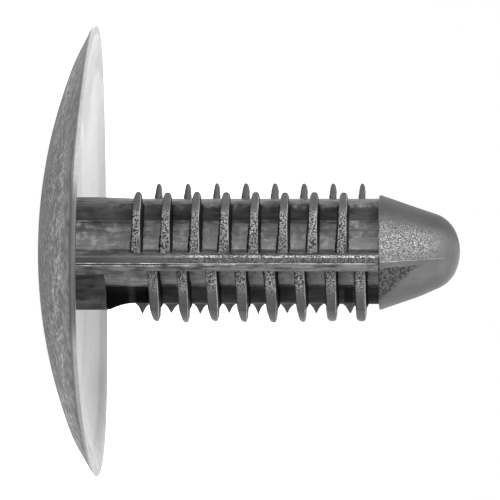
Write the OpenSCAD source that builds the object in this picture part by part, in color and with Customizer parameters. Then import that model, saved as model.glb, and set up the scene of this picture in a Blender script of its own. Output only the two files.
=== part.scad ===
// Push-in trim clip, moulded in one piece: a domed umbrella head, a round core with cross ribs,
// four rows of staggered fins and a blunt cone nose.
// Millimetres. The clip stands on the crown of its head with the stem up along +Z.
// The two ribs lie along Y, in the plane where the mould halves met. The two webs lie along X.

/* [Head] */
// Diameter of the head
head_d = 30; // [24:0.5:36]
// Radius of the domed outer face
dome_r = 36; // [30:1:60]
// Diameter of the small flat on the crown, on which the clip stands
crown_d = 4.4; // [3:0.2:8]
// Height of the upright edge of the rim
rim_h = 0.4; // [0.3:0.05:0.8]
// Width of the flat land on the underside of the rim
rim_land = 0.5; // [0.3:0.1:1.5]
// Break on the two edges of the rim
rim_break = 0.1; // [0.05:0.01:0.12]
// Thickness of the head at its centre
head_t = 1.2; // [0.9:0.1:1.8]

/* [Core] */
// Diameter of the round core
core_d = 4.8; // [4:0.1:5.4]
// Width across the two ribs
rib_w = 8.5; // [7.4:0.1:9]
// Thickness of a rib
rib_t = 1.08; // [0.8:0.04:1.4]
// Width across the two webs
web_w = 6.86; // [6.2:0.02:7.2]
// Thickness of a web at the axis
web_t = 1.9; // [1.6:0.1:2.2]
// Mould draft on the webs, in degrees
draft = 2.5; // [0.5:0.5:3.5]

/* [Root] */
// How far the root of one web stands out beyond it
root_out = 0.55; // [0.2:0.05:1]
// Height above the seat at which the root starts to curve in
root_h = 0.5; // [0.2:0.1:0.8]
// Length of the curve along the stem
root_l = 2.2; // [1.5:0.1:2.4]

/* [Fins] */
// Fins in each of the four rows
fin_n = 8; // [3:1:10]
// Spacing of the fins along the stem
fin_pitch = 1.94; // [1.6:0.02:2.6]
// Height of the first fin above the seat, which leaves room for the panel
panel_gap = 3.04; // [2.4:0.04:6]
// Shift of two of the rows along the stem
fin_shift = 1.15; // [0.6:0.05:1.5]
// Diameter over the fins
fin_d = 9.06; // [8.6:0.02:10]
// Width across the flats of the fins, along the ribs
fin_flat = 6.66; // [6:0.02:7.2]
// Thickness of a fin at the parting plane
fin_root_t = 0.74; // [0.6:0.02:0.9]
// Thickness of a fin at its rounded tip
fin_tip_t = 0.4; // [0.3:0.02:0.5]
// Distance of a fin's tip from the middle of the web, in the two rows on the plain side
fin_ear = 1.5; // [1.2:0.1:2]
// The same distance in the two rows on the side with the broader root
fin_ear_low = 0.95; // [0.9:0.05:1.5]

/* [Nose] */
// Gap between the last fin and the shoulder of the nose
nose_gap = 1.26; // [0.9:0.02:3]
// Diameter of the nose at its shoulder
nose_d = 7.54; // [7:0.02:8]
// Length of the nose
nose_l = 5.25; // [4:0.05:7]
// Half angle of the nose
nose_angle = 19; // [15:1:22]

/* [Hidden] */
$fn = 96;

// Heights along the stem
dome_z = sqrt(dome_r * dome_r - crown_d * crown_d / 4);
dome_rise = dome_z - sqrt(dome_r * dome_r - head_d * head_d / 4);
seat_z = dome_rise + rim_h;
fin_z = seat_z + panel_gap;
nose_z = fin_z + fin_shift + (fin_n - 1) * fin_pitch + nose_gap;
stem_z = head_t * 0.6;

// Hollow of the underside: a sphere through the edge of the land and the wanted wall at the centre
hollow_c = head_d / 2 - rim_land;
hollow_s = seat_z - head_t;
hollow_r = (hollow_c * hollow_c + hollow_s * hollow_s) / (2 * hollow_s);

// Webs, fins and nose
web_tip_t = web_t - web_w * tan(draft);
fin_r = fin_d / 2;
slope_x = web_w / 2 - 0.12;
slope_y = web_tip_t / 2 - 0.1;
nose_apex = nose_d / 2 / tan(nose_angle);
ball_r = (nose_apex - nose_l) / (1 / sin(nose_angle) - 1);
ball_z = nose_l - ball_r;
cone_z = ball_z + ball_r * sin(nose_angle);
cone_r = ball_r * cos(nose_angle);
root_r = (root_l * root_l + root_out * root_out) / (2 * root_out);

// Half section of the head, turned about the axis
module head_section() {
    difference() {
        intersection() {
            translate([0, dome_z]) circle(dome_r);
            polygon([
                [0, 0],
                [head_d / 2 - rim_break * 2, 0],
                [head_d / 2 - rim_break * 2, dome_rise - rim_break],
                [head_d / 2, dome_rise + rim_break],
                [head_d / 2, seat_z - rim_break],
                [head_d / 2 - rim_break, seat_z],
                [0, seat_z]
            ]);
        }
        translate([0, head_t + hollow_r]) circle(hollow_r);
    }
}

module head() {
    rotate_extrude() head_section();
}

// Cross section of the stem: round core, two ribs along Y and two drafted webs along X
module stem_section() {
    circle(d = core_d);
    square([rib_t, rib_w], center = true);
    polygon([
        [-web_w / 2, -web_tip_t / 2],
        [0, -web_t / 2],
        [web_w / 2, -web_tip_t / 2],
        [web_w / 2, web_tip_t / 2],
        [0, web_t / 2],
        [-web_w / 2, web_tip_t / 2]
    ]);
}

module stem() {
    translate([0, 0, stem_z]) linear_extrude(nose_z - stem_z) stem_section();
}

// Broader root of one web, which curves into the stem above the seat
module root() {
    root_x = web_w / 2;
    root_z = seat_z + root_h;
    translate([0, web_tip_t / 2, 0]) rotate([90, 0, 0]) linear_extrude(web_tip_t) difference() {
        translate([core_d / 4, stem_z]) square([root_x + root_out - core_d / 4, root_z + root_l - stem_z - 0.2]);
        translate([root_x + root_r - 0.02, root_z + root_l]) circle(root_r);
    }
}

// Height of a fin's tip above the parting plane
function fin_top(ear) = sqrt(fin_r * fin_r - ear * ear);

// Outline of one fin seen along the stem, cut flat toward the rib and sloped down to the web
module fin_outline(ear) {
    slope_k = (ear - slope_y) / (fin_top(ear) - slope_x);
    intersection() {
        circle(fin_r);
        polygon([
            [rib_t / 4, web_tip_t / 4],
            [rib_t / 4, fin_flat / 2],
            [fin_r + 1, fin_flat / 2],
            [fin_r + 1, slope_y + slope_k * (fin_r + 1 - slope_x)],
            [slope_x, slope_y],
            [slope_x, web_tip_t / 4]
        ]);
    }
}

// Section of one fin: it thins from the parting plane to a rounded tip
module fin_section(ear) {
    fin_end = fin_top(ear) - fin_tip_t / 2;
    polygon([
        [0, -fin_root_t / 2],
        [fin_end, -fin_tip_t / 2],
        [fin_end, fin_tip_t / 2],
        [0, fin_root_t / 2]
    ]);
    intersection() {
        translate([fin_end, 0]) circle(d = fin_tip_t);
        translate([fin_end, -fin_tip_t]) square(2 * fin_tip_t);
    }
}

module fin(ear) {
    intersection() {
        translate([0, 0, -fin_root_t]) linear_extrude(2 * fin_root_t) fin_outline(ear);
        translate([0, fin_r, 0]) rotate([90, 0, 0]) linear_extrude(fin_r) fin_section(ear);
    }
}

module fin_row(z, ear) {
    for (i = [0 : fin_n - 1]) translate([0, 0, z + i * fin_pitch]) fin(ear);
}

// Four rows: opposite quadrants stand level, and their neighbours are shifted along the stem
module fins() {
    fin_row(fin_z, fin_ear_low);
    mirror([1, 0, 0]) mirror([0, 1, 0]) fin_row(fin_z, fin_ear);
    mirror([1, 0, 0]) fin_row(fin_z + fin_shift, fin_ear);
    mirror([0, 1, 0]) fin_row(fin_z + fin_shift, fin_ear_low);
}

// Half section of the nose: a cone that runs smoothly into a ball
module nose_section() {
    polygon([
        [0, 0],
        [nose_d / 2, 0],
        [cone_r, cone_z],
        [0, cone_z]
    ]);
    intersection() {
        translate([0, ball_z]) circle(ball_r);
        translate([0, cone_z]) square([nose_d, nose_l]);
    }
}

module nose() {
    translate([0, 0, nose_z]) rotate_extrude() nose_section();
}

module trim_clip() {
    color("#4a4a4a") union() {
        head();
        stem();
        root();
        fins();
        nose();
    }
}

trim_clip();
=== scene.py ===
"""Looks of a push-in trim clip: one moulded nylon piece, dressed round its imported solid."""

import logging
import math
from dataclasses import dataclass, field
from enum import Enum
from typing import Iterable, Optional, Sequence

import bmesh
import bpy
import numpy as np
from mathutils import Matrix, Vector


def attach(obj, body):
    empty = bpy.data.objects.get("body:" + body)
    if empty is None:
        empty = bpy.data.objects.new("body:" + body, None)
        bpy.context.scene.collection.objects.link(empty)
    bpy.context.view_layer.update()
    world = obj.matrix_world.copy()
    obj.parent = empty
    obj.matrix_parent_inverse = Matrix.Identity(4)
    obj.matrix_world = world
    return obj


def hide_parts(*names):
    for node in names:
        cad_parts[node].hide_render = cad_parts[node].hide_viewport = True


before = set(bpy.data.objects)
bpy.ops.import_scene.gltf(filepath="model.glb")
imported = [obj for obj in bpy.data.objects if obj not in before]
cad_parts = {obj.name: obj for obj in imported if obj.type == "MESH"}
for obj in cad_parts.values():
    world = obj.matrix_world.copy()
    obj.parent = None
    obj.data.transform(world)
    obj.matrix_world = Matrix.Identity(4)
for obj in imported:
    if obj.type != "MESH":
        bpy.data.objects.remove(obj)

LOG = logging.getLogger("trim_clip")
MM = 0.001
PICTURE_PIXELS = 500

# Spacing of the fins and the first heights of the two kinds of rows, in millimetres
FIN_PITCH = 1.94
FIN_FIRST = 6.6466
FIN_SHIFTED = 7.7966

Point = tuple[float, float]
Triple = tuple[float, float, float]
Socket = bpy.types.NodeSocket


class Finish(Enum):
    """The clip's finishes, in the order of the piece's material slots: some are the mould's own, and some
    paint light or shade onto the one nylon.
    """

    DOME = 0
    CUP = 1
    WALL = 2
    CORE = 3
    EDGE = 4
    RIB = 5
    LAND = 6
    NOSE = 7
    FLASH = 8
    CORNER = 9
    NECK = 10
    TIP = 11
    SEAM = 12
    LIP = 13
    RIDGE = 14
    BRINK = 15


# Face marks that carry finishes through the fin rows: the grain of the edges, the painted shade on the front
# fins' flanks and outer edge strips, and the painted highlight strip along their edges.
MARKS: dict[str, tuple[Finish, ...]] = {
    "grained": (Finish.EDGE, Finish.TIP),
    "seam": (Finish.SEAM,),
    "ridge": (Finish.RIDGE,),
}


# Plain geometry


def arc(centre: Point, radius: float, start: float, end: float, steps: int) -> list[Point]:
    """Points on an arc.

    Args:
        centre: Centre of the arc.
        radius: Its radius.
        start: First angle in degrees, from the first axis.
        end: Last angle in degrees.
        steps: Number of chords.

    Returns:
        The points, both ends among them.
    """
    angles = np.radians(np.linspace(start, end, steps + 1))
    return [(centre[0] + radius * math.cos(a), centre[1] + radius * math.sin(a)) for a in angles]


def rounded(corners: Sequence[Point], radii: Sequence[float], steps: int = 5) -> list[Point]:
    """Rounds the inner corners of an open line.

    Args:
        corners: The line's corners.
        radii: A radius for each corner; 0 leaves it sharp, and the two ends stay as they are.
        steps: Chords in each rounding.

    Returns:
        The rounded line.
    """
    line: list[Point] = [corners[0]]
    for i in range(1, len(corners) - 1):
        before, here, after = (np.array(corners[i + k], dtype=float) for k in (-1, 0, 1))
        into, out = here - before, after - here
        into, out = into / np.linalg.norm(into), out / np.linalg.norm(out)
        cross = into[0] * out[1] - into[1] * out[0]
        turn = math.atan2(cross, float(into @ out))
        if radii[i] <= 0 or abs(turn) < 1e-4:
            line.append(tuple(here))
            continue
        trim = radii[i] * math.tan(abs(turn) / 2)
        side = np.array([-into[1], into[0]]) * math.copysign(1, turn)
        centre = here - into * trim + side * radii[i]
        spoke = -side * radii[i]
        for k in range(steps + 1):
            a = turn * k / steps
            c, s = math.cos(a), math.sin(a)
            line.append((centre[0] + spoke[0] * c - spoke[1] * s, centre[1] + spoke[0] * s + spoke[1] * c))
    line.append(corners[-1])
    return line


def ease(low: float, high: float, x: np.ndarray | float) -> np.ndarray | float:
    """Smooth step of x from 0 at low to 1 at high."""
    t = np.clip((np.asarray(x, dtype=float) - low) / (high - low), 0.0, 1.0)
    return t * t * (3 - 2 * t)


@dataclass
class Shell:
    """A closed shell in millimetres, with a finish for each face."""

    name: str
    points: list[Triple] = field(default_factory=list)
    faces: list[tuple[int, ...]] = field(default_factory=list)
    finishes: list[Finish] = field(default_factory=list)

    def add_points(self, points: Iterable[Sequence[float]]) -> list[int]:
        """Adds points and returns their numbers."""
        first = len(self.points)
        self.points.extend(tuple(float(c) for c in p) for p in points)
        return list(range(first, len(self.points)))

    def add_face(self, corners: Sequence[int], finish: Finish) -> None:
        """Adds one face."""
        self.faces.append(tuple(corners))
        self.finishes.append(finish)

    def bridge(self, low: Sequence[int], high: Sequence[int], finish: Finish, closed: bool = True) -> None:
        """Joins two rings of points by quads.

        Args:
            low: Numbers of the first ring.
            high: Numbers of the second ring, as many.
            finish: Finish of the new faces.
            closed: Whether the last point joins the first.
        """
        count = len(low)
        for i in range(count if closed else count - 1):
            j = (i + 1) % count
            self.add_face((low[i], low[j], high[j], high[i]), finish)

    def mesh(self) -> bpy.types.Mesh:
        """Makes the mesh, in metres, with its normals pointing out.

        Returns:
            A mesh with one slot for each finish and the face attributes that MARKS names.
        """
        mesh = bpy.data.meshes.new(self.name)
        mesh.from_pydata([Vector(p) * MM for p in self.points], [], self.faces)
        for finish in Finish:
            mesh.materials.append(FINISHES[finish])
        mesh.polygons.foreach_set("material_index", [f.value for f in self.finishes])
        work = bmesh.new()
        work.from_mesh(mesh)
        bmesh.ops.remove_doubles(work, verts=work.verts, dist=1e-8)
        bmesh.ops.recalc_face_normals(work, faces=work.faces)
        work.to_mesh(mesh)
        work.free()
        for name, marked in MARKS.items():
            mark = mesh.attributes.new(name, "BOOLEAN", "FACE")
            mark.data.foreach_set("value", [Finish(p.material_index) in marked for p in mesh.polygons])
        return mesh

    def thing(self) -> bpy.types.Object:
        """Makes an object of the mesh and puts it in the scene."""
        thing = bpy.data.objects.new(self.name, self.mesh())
        bpy.context.scene.collection.objects.link(thing)
        return thing


def turned(name: str, profile: Sequence[Point], finishes: Sequence[Finish], around: int) -> Shell:
    """Turns a half section about the axis.

    Args:
        name: Name of the shell.
        profile: Points of radius and height; the first and last lie on the axis.
        finishes: A finish for each stretch of the profile.
        around: Points in each ring.

    Returns:
        The closed shell.
    """
    shell = Shell(name)
    angles = np.linspace(0, 2 * math.pi, around, endpoint=False)
    first = shell.add_points([(0, 0, profile[0][1])])[0]
    last_ring: Optional[list[int]] = None
    for k in range(1, len(profile) - 1):
        r, z = profile[k]
        ring = shell.add_points([(r * math.cos(a), r * math.sin(a), z) for a in angles])
        if last_ring is None:
            for i in range(around):
                shell.add_face((first, ring[i], ring[(i + 1) % around]), finishes[0])
        else:
            shell.bridge(last_ring, ring, finishes[k - 1])
        last_ring = ring
    end = shell.add_points([(0, 0, profile[-1][1])])[0]
    for i in range(around):
        shell.add_face((last_ring[i], last_ring[(i + 1) % around], end), finishes[-1])
    return shell


# Node trees


class Nodes:
    """Short way to fill a node tree."""

    def __init__(self, tree: bpy.types.NodeTree) -> None:
        """Holds the tree to fill."""
        self.tree = tree

    def add(self, kind: str, values: Optional[dict] = None, **props: object) -> bpy.types.Node:
        """Adds one node.

        Args:
            kind: Blender's name of the node type.
            values: Input name or number to a value, or to a socket that feeds it.
            **props: Properties of the node itself.

        Returns:
            The new node.
        """
        node = self.tree.nodes.new(kind)
        for key, value in props.items():
            setattr(node, key, value)
        for key, value in (values or {}).items():
            self.feed(node.inputs[key], value)
        return node

    def feed(self, socket: Socket, value: object) -> None:
        """Links a socket to an input, or sets its value."""
        if isinstance(value, Socket):
            self.tree.links.new(value, socket)
        else:
            socket.default_value = value

    def maths(self, operation: str, *values: object, clamp: bool = False) -> Socket:
        """Adds a Math node and returns its result."""
        node = self.add("ShaderNodeMath", dict(enumerate(values)), operation=operation, use_clamp=clamp)
        return node.outputs[0]

    def span(self, value: object, low: float, high: float, to_low: float, to_high: float) -> Socket:
        """Maps a value smoothly from one span to another.

        Args:
            value: The socket to map.
            low: Start of the span.
            high: End of the span.
            to_low: Result at the start.
            to_high: Result at the end.

        Returns:
            The mapped value.
        """
        feeds = {0: value, 1: low, 2: high, 3: to_low, 4: to_high}
        return self.add("ShaderNodeMapRange", feeds, interpolation_type="SMOOTHSTEP").outputs[0]


def new_group(
    name: str, inputs: dict[str, tuple[str, object]], outputs: dict[str, str]
) -> tuple[Nodes, dict[str, Socket], bpy.types.Node]:
    """Starts a shader node group.

    Args:
        name: Name of the group.
        inputs: Input name to its socket type and default.
        outputs: Output name to its socket type.

    Returns:
        The group's nodes, its inputs by name, and its output node.
    """
    tree = bpy.data.node_groups.new(name, "ShaderNodeTree")
    for key, (kind, value) in inputs.items():
        socket = tree.interface.new_socket(key, in_out="INPUT", socket_type=kind)
        if value is not None:
            socket.default_value = value
    for key, kind in outputs.items():
        tree.interface.new_socket(key, in_out="OUTPUT", socket_type=kind)
    nodes = Nodes(tree)
    source = nodes.add("NodeGroupInput")
    sink = nodes.add("NodeGroupOutput")
    return nodes, {key: source.outputs[key] for key in inputs}, sink


class SparkGrain:
    """Speckled grain that a spark-eroded mould leaves, as a node group."""

    NAME = "spark_grain"

    @classmethod
    def tree(cls) -> bpy.types.NodeTree:
        """Builds the group once and returns it."""
        if cls.NAME in bpy.data.node_groups:
            return bpy.data.node_groups[cls.NAME]
        nodes, given, sink = new_group(
            cls.NAME,
            {"Vector": ("NodeSocketVector", None), "Grains per mm": ("NodeSocketFloat", 5.0)},
            {"Height": "NodeSocketFloat", "Tone": "NodeSocketFloat"},
        )
        scale = nodes.maths("MULTIPLY", given["Grains per mm"], 1 / MM)
        dust = nodes.add(
            "ShaderNodeTexNoise", {"Vector": given["Vector"], "Scale": scale, "Detail": 1.0, "Roughness": 0.6}
        )
        nodes.feed(sink.inputs["Height"], dust.outputs[0])
        points = nodes.span(dust.outputs[0], 0.57, 0.7, 0.0, 0.9)
        tone = nodes.maths("ADD", nodes.span(dust.outputs[0], 0.39, 0.61, -1.0, 1.0), points)
        nodes.feed(sink.inputs["Tone"], tone)
        return nodes.tree


class FlowMarks:
    """Streaks along the stem and soft clouds, as a node group."""

    NAME = "flow_marks"

    @classmethod
    def tree(cls) -> bpy.types.NodeTree:
        """Builds the group once and returns it."""
        if cls.NAME in bpy.data.node_groups:
            return bpy.data.node_groups[cls.NAME]
        nodes, given, sink = new_group(
            cls.NAME,
            {"Vector": ("NodeSocketVector", None), "Streak": ("NodeSocketVector", (2.6, 2.6, 0.35))},
            {"Streaks": "NodeSocketFloat", "Clouds": "NodeSocketFloat"},
        )
        stretch = {0: given["Vector"], 1: given["Streak"]}
        drawn = nodes.add("ShaderNodeVectorMath", stretch, operation="MULTIPLY")
        streaks = nodes.add(
            "ShaderNodeTexNoise",
            {"Vector": drawn.outputs[0], "Scale": 1 / MM, "Detail": 3.0, "Roughness": 0.55},
        )
        clouds = nodes.add(
            "ShaderNodeTexNoise",
            {
                "Vector": given["Vector"], "Scale": 0.55 / MM, "Detail": 3.0,
                "Roughness": 0.6, "Distortion": 0.4,
            },
        )
        nodes.feed(sink.inputs["Streaks"], nodes.span(streaks.outputs[0], 0.3, 0.7, 0.0, 1.0))
        nodes.feed(sink.inputs["Clouds"], nodes.span(clouds.outputs[0], 0.3, 0.7, 0.0, 1.0))
        return nodes.tree


class Zone(Enum):
    """Where on a surface the grain is strong, or where light and shade are painted into the tone."""

    ALL = "all"
    UPPER_STEM = "upper stem"
    NOSE_SIDES = "nose sides"
    FIN_FRONT = "front of a fin"
    DOME = "dome within the rim"
    CUP = "underside within the rim"
    NECK = "middle of the neck"
    WEB_TOP = "outer part of a web"
    TIPS = "both sides of the rim"


@dataclass(frozen=True)
class Nylon:
    """One finish of dark grey moulded nylon.

    The grey is the colour set for the finish, lighter or darker in several finishes to paint light or shade,
    and the depths are bump heights in millimetres.
    """

    name: str
    grey: float
    roughness: float
    tone: float
    streak_depth: float
    streak: Triple = (2.6, 2.6, 0.35)
    specular: float = 0.5
    coat: float = 0.0
    grain_depth: float = 0.0
    grain_tone: float = 0.0
    grains: float = 5.0
    zone: Zone = Zone.ALL
    # Painted light and painted shade over the zone's mask, as shares of the grey.
    painted_light: float = 0.0
    painted_shade: float = 0.0

    def zone_mask(self, nodes: Nodes, place: Socket) -> Optional[Socket]:
        """Makes the mask of the zone.

        Args:
            nodes: The material's nodes.
            place: Object coordinates.

        Returns:
            A mask from 0 to 1, or None where the finish is alike all over.
        """
        if self.zone is Zone.ALL:
            return None
        split = nodes.add("ShaderNodeSeparateXYZ", {0: place}).outputs
        # Front of a fin: where the grain shows, with painted shade where the mask falls at the tips.
        if self.zone is Zone.FIN_FRONT:
            low = nodes.span(split[0], 1.2 * MM, 2.8 * MM, 1.0, 0.1)
            return nodes.maths("MULTIPLY", low, nodes.span(split[0], -3.7 * MM, -2.9 * MM, 0.15, 1.0))
        # Both sides of the rim: where painted light brightens the rim's edge, land and outer rounding.
        if self.zone is Zone.TIPS:
            upper = nodes.span(split[0], -8.5 * MM, -5.0 * MM, 1.0, 0.0)
            return nodes.maths("MAXIMUM", upper, nodes.span(split[0], 0.5 * MM, 4.0 * MM, 0.0, 0.6))
        # Outer part of the upper webs: its grain, and painted light along the top edge where the light falls.
        if self.zone is Zone.WEB_TOP:
            outer = nodes.span(split[0], -3.4 * MM, -2.7 * MM, 1.0, 0.0)
            return nodes.maths("MULTIPLY", outer, nodes.span(split[2], 4.3 * MM, 5.0 * MM, 0.0, 1.0))
        # Dome and underside: the band by the rim, darkened as painted shade; the dome's grain fades there
        # too.
        if self.zone in (Zone.DOME, Zone.CUP):
            flat = nodes.add("ShaderNodeCombineXYZ", {0: split[0], 1: split[1]}).outputs[0]
            away = nodes.add("ShaderNodeVectorMath", {0: flat}, operation="LENGTH").outputs["Value"]
            return nodes.span(away, 12.6 * MM, (14.8 if self.zone is Zone.DOME else 13.4) * MM, 1.0, 0.0)
        # Neck: the painted light of its middle band.
        if self.zone is Zone.NECK:
            off = nodes.maths("ABSOLUTE", nodes.maths("SUBTRACT", split[2], 6.05 * MM))
            return nodes.span(off, 0.0, 0.4 * MM, 1.0, 0.0)
        # Further up the stem: where the ribs' grain shows, and where the painted highlight on the rib's upper
        # corner is strongest.
        if self.zone is Zone.UPPER_STEM:
            return nodes.span(split[2], 7.0 * MM, 12.0 * MM, 0.12, 1.0)
        # Nose: where the grain shows and where painted highlight brightens the sides.
        up = self.rise(nodes, split)
        above = nodes.span(up, math.radians(24), math.radians(62), 1.0, 0.15)
        below = nodes.span(up, math.radians(-2), math.radians(1), 0.0, 0.6)
        full = nodes.span(up, math.radians(1), math.radians(18), 0.0, 0.4)
        tip = nodes.span(split[2], 25.0 * MM, 27.2 * MM, 1.0, 0.1)
        return nodes.maths("MULTIPLY", nodes.maths("MULTIPLY", above, nodes.maths("ADD", below, full)), tip)

    @staticmethod
    def slant(nodes: Nodes, place: Socket, where: Point, values: Point) -> Socket:
        """A value that goes from one to another between two places along X, in millimetres."""
        across = nodes.add("ShaderNodeSeparateXYZ", {0: place}).outputs[0]
        return nodes.span(across, where[0] * MM, where[1] * MM, values[0], values[1])

    @staticmethod
    def rise(nodes: Nodes, split: Sequence[Socket]) -> Socket:
        """Angle round the nose from its parting line, positive over it."""
        wide = nodes.maths("ABSOLUTE", split[1])
        return nodes.maths("ARCTAN2", nodes.maths("MULTIPLY", split[0], -1.0), wide)

    def pits(self, nodes: Nodes, place: Socket) -> Socket:
        """Makes the mask of the pitted patch under the nose's parting line.

        Args:
            nodes: The material's nodes.
            place: Object coordinates.

        Returns:
            A mask from 0 to 1, a triangle that narrows toward the tip.
        """
        split = nodes.add("ShaderNodeSeparateXYZ", {0: place}).outputs
        down = nodes.maths("MULTIPLY", self.rise(nodes, split), -1.0)
        feeds = {0: split[2], 1: 22.5 * MM, 2: 25.7 * MM, 3: math.radians(52), 4: math.radians(2)}
        limit = nodes.add("ShaderNodeMapRange", feeds).outputs[0]
        within = nodes.maths("SUBTRACT", limit, down)
        inside = nodes.span(within, math.radians(-4), math.radians(12), 0.0, 1.0)
        below = nodes.span(down, math.radians(5.5), math.radians(7.5), 0.0, 1.0)
        return nodes.maths("MULTIPLY", inside, below)

    @staticmethod
    def painted_shadow_spot(nodes: Nodes, place: Socket) -> Socket:
        """Makes the painted shadow on the lower web's near side, by the last far fin.

        Args:
            nodes: The material's nodes.
            place: Object coordinates.

        Returns:
            A factor for the colour, 1 away from the spot.
        """
        split = nodes.add("ShaderNodeSeparateXYZ", {0: place}).outputs
        along = nodes.maths("ABSOLUTE", nodes.maths("SUBTRACT", split[2], 20.5 * MM))
        wide = nodes.span(along, 0.2 * MM, 0.4 * MM, 1.0, 0.0)
        low = nodes.span(split[0], 2.0 * MM, 2.4 * MM, 0.0, 1.0)
        near = nodes.span(split[1], -0.3 * MM, -0.1 * MM, 1.0, 0.0)
        inside = nodes.maths("MULTIPLY", nodes.maths("MULTIPLY", wide, low), near)
        return nodes.span(inside, 0.0, 1.0, 1.0, 0.1)

    def shade(self, nodes: Nodes, place: Socket) -> Optional[Socket]:
        """Paints the zone's light and shade into its tone.

        Args:
            nodes: The material's nodes.
            place: Object coordinates.

        Returns:
            A factor for the colour, or None where the zone has none.
        """
        # Fins: painted highlight over the fronts, strongest high on the upper fins.
        if self.zone is Zone.FIN_FRONT:
            return self.slant(nodes, place, (-2.4, -1.5), (1.4, 1.12))
        # Nose: painted shade toward its top.
        if self.zone is Zone.NOSE_SIDES:
            up = self.rise(nodes, nodes.add("ShaderNodeSeparateXYZ", {0: place}).outputs)
            return nodes.span(up, math.radians(26), math.radians(62), 1.0, 0.52)
        # Web: painted shadow by the last far fin.
        if self.zone is Zone.WEB_TOP:
            return self.painted_shadow_spot(nodes, place)
        # Dome: painted shading, darker toward negative X and lighter toward positive X.
        if self.zone is Zone.DOME:
            return self.slant(nodes, place, (-14.0, 14.0), (0.72, 1.32))
        # Underside: painted light, lighter toward positive X.
        if self.zone is Zone.CUP:
            return self.slant(nodes, place, (1.0, 6.0), (1.0, 1.4))
        return None

    def grained(self, nodes: Nodes, place: Socket, light: Socket, height: Socket) -> tuple[Socket, Socket]:
        """Adds the grain, the zone's painted light and shade, and the nose's pits.

        Args:
            nodes: The material's nodes.
            place: Object coordinates.
            light: Factor for the colour so far.
            height: Bump height so far, in metres.

        Returns:
            The factor and the height with the grain.
        """
        mask = self.zone_mask(nodes, place)
        if self.grain_depth > 0:
            rough, swing = self.grain(nodes, place, self.grains)
            if mask is not None:
                rough = nodes.maths("MULTIPLY", rough, mask)
                swing = nodes.maths("MULTIPLY", swing, mask)
            light = nodes.maths("MULTIPLY", light, nodes.maths("ADD", swing, 1.0))
            height = nodes.maths("MULTIPLY_ADD", rough, self.grain_depth * MM, height)
        # Painted light and shade: the zone's mask brightens or darkens the colour.
        if mask is not None:
            tone = nodes.span(mask, 0.0, 1.0, 1 - self.painted_shade, 1 + self.painted_light)
            light = nodes.maths("MULTIPLY", light, tone)
        if self.zone is Zone.NOSE_SIDES:
            rough, swing = self.grain(nodes, place, self.grains * 0.6)
            patch = self.pits(nodes, place)
            speck = nodes.maths("SUBTRACT", nodes.maths("MINIMUM", swing, 0.3), 0.74)
            dark = nodes.maths("MULTIPLY", speck, patch)
            light = nodes.maths("MULTIPLY", light, nodes.maths("ADD", dark, 1.0))
            deep = nodes.maths("MULTIPLY", rough, patch)
            height = nodes.maths("MULTIPLY_ADD", deep, self.grain_depth * 2 * MM, height)
        return light, height

    def material(self) -> bpy.types.Material:
        """Builds the material.

        Returns:
            A node material on Object coordinates.
        """
        material = bpy.data.materials.new(self.name)
        material.use_nodes = True
        nodes = Nodes(material.node_tree)
        shader = material.node_tree.nodes["Principled BSDF"]
        shader.inputs["IOR"].default_value = 1.5
        shader.inputs["Specular IOR Level"].default_value = self.specular
        shader.inputs["Coat Weight"].default_value = self.coat
        shader.inputs["Coat Roughness"].default_value = 0.12
        place = nodes.add("ShaderNodeTexCoord").outputs["Object"]
        drawn = {"Vector": place, "Streak": self.streak}
        flow = nodes.add("ShaderNodeGroup", drawn, node_tree=FlowMarks.tree())
        clouds = nodes.maths("MULTIPLY", flow.outputs["Clouds"], 0.5)
        marks = nodes.maths("MULTIPLY_ADD", flow.outputs["Streaks"], 0.5, clouds)
        light = nodes.span(marks, 0.1, 0.9, 1 - self.tone, 1 + self.tone)
        height = nodes.maths("MULTIPLY", flow.outputs["Streaks"], self.streak_depth * MM)
        light, height = self.grained(nodes, place, light, height)
        # The zone's painted light and shade.
        shade = self.shade(nodes, place)
        if shade is not None:
            light = nodes.maths("MULTIPLY", light, shade)
        if self.zone is Zone.CUP:
            gloss = self.slant(nodes, place, (8.5, 11.0), (self.coat, 0.5 * self.coat))
            nodes.feed(shader.inputs["Coat Weight"], gloss)
        level = nodes.maths("MULTIPLY", light, self.grey, clamp=True)
        colour = nodes.add("ShaderNodeCombineColor", {0: level, 1: level, 2: level})
        nodes.feed(shader.inputs["Base Color"], colour.outputs[0])
        sheen = nodes.span(flow.outputs["Clouds"], 0.0, 1.0, self.roughness - 0.05, self.roughness + 0.07)
        nodes.feed(shader.inputs["Roughness"], sheen)
        bump = nodes.add("ShaderNodeBump", {"Strength": 1.0, "Distance": 1.0, "Height": height})
        nodes.feed(shader.inputs["Normal"], bump.outputs[0])
        return material

    def grain(self, nodes: Nodes, place: Socket, grains: float) -> tuple[Socket, ...]:
        """Adds the spark grain.

        Args:
            nodes: The material's nodes.
            place: Object coordinates.
            grains: Grains in a millimetre.

        Returns:
            The grain's height and the swing of its tone about 0.
        """
        grain = nodes.add("ShaderNodeGroup", node_tree=SparkGrain.tree())
        nodes.feed(grain.inputs["Vector"], place)
        grain.inputs["Grains per mm"].default_value = grains
        return grain.outputs["Height"], nodes.maths("MULTIPLY", grain.outputs["Tone"], self.grain_tone)


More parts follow.
